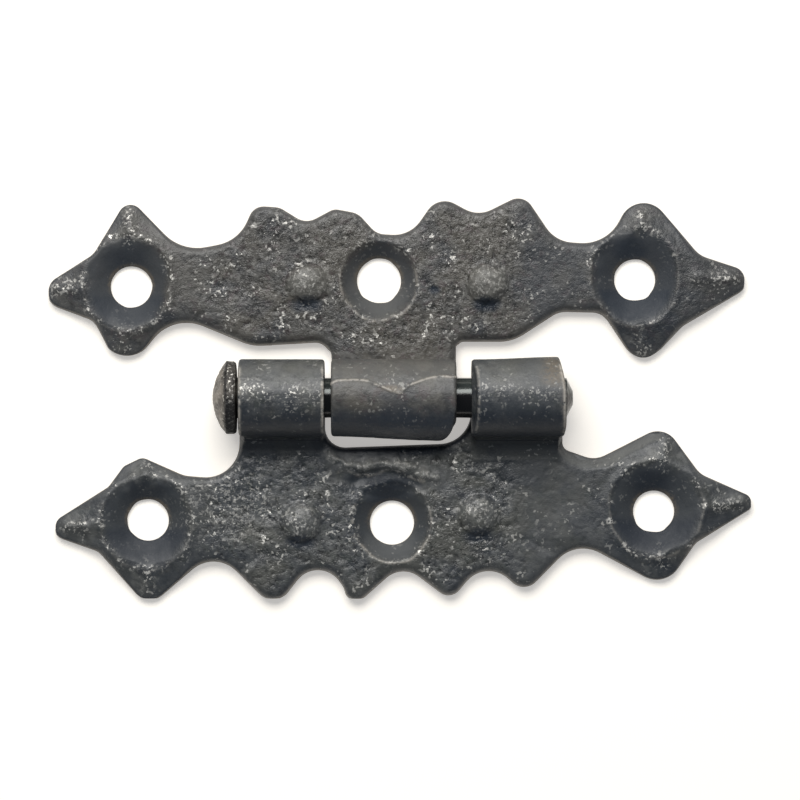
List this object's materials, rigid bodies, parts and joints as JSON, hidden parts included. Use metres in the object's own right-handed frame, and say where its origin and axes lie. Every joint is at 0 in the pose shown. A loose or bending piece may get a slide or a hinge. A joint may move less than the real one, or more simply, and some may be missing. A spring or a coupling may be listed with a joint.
{
  "type": "star hinge",
  "caption": "Small blackened-iron butt hinge with wavy-edged leaves that end in star points, rolled knuckles and a headed pin; it hangs a light door or lid.",
  "frame": {"origin": "in the plane of the two back faces, straight under the middle of the pin's axis, at the centre of the open hinge", "axes": "+X along the pin, away from its head; +Y towards the leaf with one knuckle; +Z out of the front faces"},
  "size_m": [0.0703, 0.04, 0.0077],
  "materials": {
    "warm_black_iron": "blackened sheet steel, hammered, rough and slightly brown, with bare flecks on the high spots",
    "blue_black_iron": "blackened sheet steel, hammered, rough and slightly blue, with bare flecks on the high spots",
    "black_pin_steel": "smooth glossy black on the shank, rubbed grey on the head"
  },
  "bodies": {
    "two_knuckle_side": {"two_knuckle_leaf": "blue_black_iron", "hinge_pin": "black_pin_steel"},
    "one_knuckle_side": {"one_knuckle_leaf": "warm_black_iron"}
  },
  "joints": [
    {"name": "leaf_swing", "type": "hinge", "parent": "two_knuckle_side", "child": "one_knuckle_side", "pos_m": [0, 0, 0.00385], "axis": [1, 0, 0], "range_deg": [-90, 180]}
  ]
}
